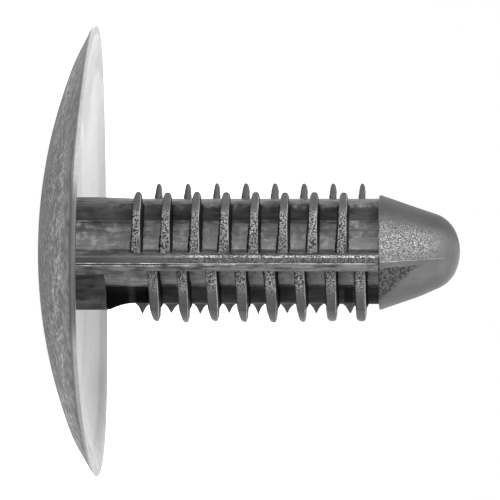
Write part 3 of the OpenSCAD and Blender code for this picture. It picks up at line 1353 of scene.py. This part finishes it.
@dataclass
class Flash:
    """Thin broken ridge that the mould's parting line leaves along the ribs and the nose. Sizes in mm."""

    stem: Stem
    nose: Nose
    height: float = 0.06
    half_width: float = 0.055

    def ridge(self, name: str, path: Sequence[Triple], share: Sequence[float], seed: int, side: int) -> Shell:
        """Builds one ridge.

        Args:
            name: Name of the shell.
            path: Place across the rib, distance from the axis along Y, and height, of points on the surface.
            share: Share of the full height at each point.
            seed: Seed of the ridge's breaks.
            side: 1 for the rib at positive Y, -1 for the other.

        Returns:
            The closed shell of the ridge, sunk into the surface.
        """
        shell = Shell(name)
        random = np.random.default_rng(seed)
        rough = np.convolve(random.random(len(path) + 6), np.ones(3) / 3, mode="same")[3:-3]
        tall = self.height * np.asarray(share) * np.clip(1.9 * rough - 0.25, 0.12, 1.0)
        tall[0] = tall[-1] = self.height * 0.05
        rings = []
        for (x, y, z), rise in zip(path, tall):
            low, high = side * (y - 0.06), side * (y + rise)
            corners = [(x - self.half_width, low, z), (x, high, z), (x + self.half_width, low, z)]
            rings.append(shell.add_points(corners))
        for low, high in zip(rings, rings[1:]):
            # The ridge takes the pale finish, a painted highlight.
            shell.bridge(low, high, Finish.FLASH)
        shell.add_face(rings[0], Finish.FLASH)
        shell.add_face(rings[-1][::-1], Finish.FLASH)
        return shell

    @staticmethod
    def rib_share(z: float) -> float:
        """Share of the full height along a rib, most beside the head and least where the ridge is worn."""
        worn = ease(7.6, 8.6, z) - 0.7 * ease(11.5, 13.5, z) + 0.7 * ease(15, 17, z)
        return 1.1 - 0.6 * float(worn)

    def build(self) -> list[Shell]:
        """Builds the ridges of both ribs and both sides of the nose.

        Returns:
            The closed shells of the ridges.
        """
        edge = self.stem.rib_width / 2
        ribs = [(0.0, edge, z) for z in np.linspace(2.2, self.stem.top - 0.1, 150)]
        ribs_share = [self.rib_share(z) for _, _, z in ribs]
        roots = []
        for z in np.linspace(2.6, 13.2, 88):
            aside = 0.17 - 0.09 * float(ease(7.5, 13.0, z))
            roots.append((aside, edge - self.stem.step, z))
        heights = np.linspace(self.nose.base + 0.15, self.nose.base + 4.3, 46)
        cone = [(0.0, self.nose.radius(z), z) for z in heights]
        shells = []
        for side in (-1, 1):
            word = "front" if side < 0 else "back"
            shells.append(self.ridge(f"flash_rib_{word}", ribs, ribs_share, 11 + side, side))
            shells.append(self.ridge(f"flash_root_{word}", roots, [0.9] * len(roots), 21 + side, side))
            shells.append(self.ridge(f"flash_nose_{word}", cone, [0.35] * len(cone), 31 + side, side))
        return shells


# Putting the piece together


def baked(thing: bpy.types.Object) -> bpy.types.Object:
    """Turns an object's modifiers into plain mesh.

    Args:
        thing: The object, whose modifiers are removed.

    Returns:
        The same object.
    """
    graph = bpy.context.evaluated_depsgraph_get()
    graph.update()
    ready = thing.evaluated_get(graph)
    mesh = bpy.data.meshes.new_from_object(ready, preserve_all_data_layers=True, depsgraph=graph)
    thing.modifiers.clear()
    old = thing.data
    thing.data = mesh
    if old.users == 0:
        bpy.data.meshes.remove(old)
    return thing


def welded(base: bpy.types.Object, others: Sequence[bpy.types.Object]) -> bpy.types.Object:
    """Unites closed shells into one skin.

    Args:
        base: The object that takes the others in.
        others: Objects that go into it and are then removed.

    Returns:
        The united object.
    """
    for other in others:
        union = base.modifiers.new(other.name, "BOOLEAN")
        union.operation = "UNION"
        union.solver = "MANIFOLD"
        union.object = other
        union.material_mode = "TRANSFER"
        baked(base)
    for other in others:
        mesh = other.data
        bpy.data.objects.remove(other)
        if mesh.users == 0:
            bpy.data.meshes.remove(mesh)
    return base


@dataclass
class TrimClip:
    """The whole clip, moulded in one piece."""

    head: Head
    stem: Stem
    fins: Fins
    nose: Nose
    flash: Flash

    @classmethod
    def new(cls) -> "TrimClip":
        """Makes the clip's parts with their own sizes."""
        head = Head()
        stem = Stem(head)
        nose = Nose()
        return cls(head, stem, Fins(stem), nose, Flash(stem, nose))

    def build(self) -> bpy.types.Object:
        """Builds the clip as one closed skin.

        Returns:
            The clip's object, at the origin.
        """
        clip = self.stem.build().thing()
        clip.name = "clip_moulding"
        others = self.fins.build()
        others += [self.stem.block().thing(), self.nose.build().thing(), self.head.build().thing()]
        others += [shell.thing() for shell in self.flash.build()]
        for thing in [clip, *others]:
            faces = len(thing.data.polygons)
            LOG.info("%s: %d faces, %d open edges", thing.name, faces, open_edges(thing.data))
        clip = welded(clip, others)
        clip.data.name = clip.name
        self.smooth(clip)
        return clip

    @staticmethod
    def smooth(clip: bpy.types.Object) -> None:
        """Shades the skin smooth, with flats kept flat by their area.

        Args:
            clip: The clip's object.
        """
        clip.data.shade_smooth()
        clip.data.set_sharp_from_angle(angle=math.radians(38))
        even = clip.modifiers.new("even", "WEIGHTED_NORMAL")
        even.keep_sharp = True
        even.weight = 90
        baked(clip)

    def dress(self, clip: bpy.types.Object) -> None:
        """Hands the clip to the frame: it rides on the one body and stands for the CAD node."""
        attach(clip, "root")
        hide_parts("trim_clip")


def open_edges(mesh: bpy.types.Mesh) -> int:
    """Counts the edges that don't join exactly two faces."""
    work = bmesh.new()
    work.from_mesh(mesh)
    count = sum(1 for e in work.edges if len(e.link_faces) != 2)
    work.free()
    return count


# Studio


@dataclass(frozen=True)
class Lamp:
    """One softbox: where it stands, its size and its power. Distances in metres."""

    name: str
    place: Triple
    size: float
    power: float

    def build(self, target: Vector) -> bpy.types.Object:
        """Sets up the softbox, turned to the target.

        Args:
            target: The point that it faces.

        Returns:
            The light's object.
        """
        data = bpy.data.lights.new(self.name, "AREA")
        data.shape = "SQUARE"
        data.size = self.size
        data.energy = self.power
        lamp = bpy.data.objects.new(self.name, data)
        lamp.location = target + Vector(self.place)
        lamp.rotation_euler = (target - lamp.location).to_track_quat("-Z", "Y").to_euler()
        bpy.context.scene.collection.objects.link(lamp)
        return lamp


@dataclass
class Studio:
    """Pale floor, white surroundings, softboxes and the camera.

    Sizes are in millimetres and angles in degrees, but the middle is in metres.
    """

    middle: Vector = field(default_factory=lambda: Vector((0, 0, 13.9)) * MM)
    azimuth: float = -11.0
    elevation: float = 2.7
    roll: float = 0.07
    distance: float = 320.0
    pixels_per_mm: float = 15.037
    aside: float = -0.087
    above: float = 0.03
    ambient: float = 0.12
    front: float = 0.25
    floor_glow: float = 0.95
    floor_half: float = 2500.0
    floor_drop: float = 0.02
    lamps: tuple[Lamp, ...] = (
        Lamp("key", (-0.239, -0.159, 0.279), 0.3, 1.0),
        Lamp("front", (-0.181, -0.342, 0.101), 0.3, 0.88),
        Lamp("right", (-0.04, -0.239, 0.318), 0.3, 0.4),
        Lamp("low", (0.239, -0.159, 0.279), 0.3, 0.7),
        Lamp("back", (0.18, 0.3, 0.2), 0.25, 0.12),
    )

    def camera(self) -> bpy.types.Object:
        """Sets the camera at the photograph's angle, turned so that the stem lies across the frame.

        Returns:
            The camera's object.
        """
        a, e, r = (math.radians(v) for v in (self.azimuth, self.elevation, self.roll))
        back = Vector((math.sin(a) * math.cos(e), -math.cos(a) * math.cos(e), math.sin(e)))
        across = Vector((math.cos(a), math.sin(a), 0.0))
        up = back.cross(across)
        target = self.middle + across * self.aside * MM + up * self.above * MM
        right = up * math.cos(r) - across * math.sin(r)
        top = -(up * math.sin(r) + across * math.cos(r))
        data = bpy.data.cameras.new("camera")
        data.sensor_width = 36.0
        data.lens = self.pixels_per_mm * self.distance / PICTURE_PIXELS * data.sensor_width
        data.clip_start, data.clip_end = 0.01, 20.0
        camera = bpy.data.objects.new("camera", data)
        turn = Matrix((right, top, back)).transposed().to_4x4()
        camera.matrix_world = Matrix.Translation(target + back * self.distance * MM) @ turn
        bpy.context.scene.collection.objects.link(camera)
        bpy.context.scene.camera = camera
        return camera

    @staticmethod
    def seen_white(nodes: Nodes) -> Socket:
        """Mask of the rays that should meet plain white: from the camera, in gloss and through glass."""
        path = nodes.add("ShaderNodeLightPath").outputs
        most = nodes.maths("MAXIMUM", path["Is Camera Ray"], path["Is Glossy Ray"])
        return nodes.maths("MAXIMUM", most, path["Is Transmission Ray"])

    def world(self) -> None:
        """Makes the surroundings: soft light for the surfaces, plain white where they are seen."""
        world = bpy.data.worlds.new("surroundings")
        world.use_nodes = True
        nodes = Nodes(world.node_tree)
        background = world.node_tree.nodes["Background"]
        background.inputs["Color"].default_value = (1, 1, 1, 1)
        toward = nodes.add("ShaderNodeSeparateXYZ", {0: nodes.add("ShaderNodeTexCoord").outputs["Generated"]})
        room = nodes.span(toward.outputs[1], -0.8, 0.1, self.front, 1.0)
        feeds = {0: self.seen_white(nodes), 3: self.ambient, 4: 1.0}
        level = nodes.add("ShaderNodeMapRange", feeds).outputs[0]
        seen = nodes.add("ShaderNodeLightPath").outputs["Is Camera Ray"]
        lit = nodes.maths("MAXIMUM", nodes.maths("MULTIPLY", level, room), seen)
        nodes.feed(background.inputs["Strength"], lit)
        bpy.context.scene.world = world

    def floor(self) -> bpy.types.Object:
        """Makes the pale floor, which keeps the clip's shadow.

        Returns:
            The floor's object.
        """
        half, drop = self.floor_half * MM, self.floor_drop * MM
        mesh = bpy.data.meshes.new("floor")
        corners = [(-half, -half), (half, -half), (half, half), (-half, half)]
        mesh.from_pydata([(x, y, -drop) for x, y in corners], [], [(0, 1, 2, 3)])
        floor = bpy.data.objects.new("floor", mesh)
        material = bpy.data.materials.new("pale_floor")
        material.use_nodes = True
        tree = material.node_tree
        nodes = Nodes(tree)
        tree.nodes.remove(tree.nodes["Principled BSDF"])
        matt = nodes.add("ShaderNodeBsdfDiffuse", {"Color": (0.8, 0.8, 0.8, 1)})
        place = nodes.add("ShaderNodeTexCoord").outputs["Object"]
        away = nodes.add("ShaderNodeVectorMath", {0: place}, operation="LENGTH").outputs["Value"]
        glow_level = nodes.span(away, 0.03, 0.2, self.floor_glow, 1.0)
        level = nodes.maths("MULTIPLY", self.seen_white(nodes), glow_level)
        glow = nodes.add("ShaderNodeEmission", {"Color": (1, 1, 1, 1), "Strength": level})
        mix = nodes.add("ShaderNodeAddShader", {0: matt.outputs[0], 1: glow.outputs[0]})
        nodes.feed(tree.nodes["Material Output"].inputs["Surface"], mix.outputs[0])
        mesh.materials.append(material)
        bpy.context.scene.collection.objects.link(floor)
        return floor

    def build(self) -> None:
        """Sets up the whole studio."""
        bpy.context.scene.view_settings.view_transform = "Standard"
        self.camera()
        self.world()
        self.floor()
        for lamp in self.lamps:
            lamp.build(self.middle)


def main() -> None:
    """Builds the clip and its studio, and reports each piece."""
    logging.basicConfig(level=logging.INFO, format="%(name)s: %(message)s")
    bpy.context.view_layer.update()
    for finish, nylon in NYLON.items():
        FINISHES[finish] = nylon.material()
    parts = TrimClip.new()
    clip = parts.build()
    parts.dress(clip)
    clip.data.calc_loop_triangles()
    triangles = len(clip.data.loop_triangles)
    LOG.info("%s: %d triangles, %d open edges", clip.name, triangles, open_edges(clip.data))
    Studio().build()


if __name__ == "__main__":
    main()
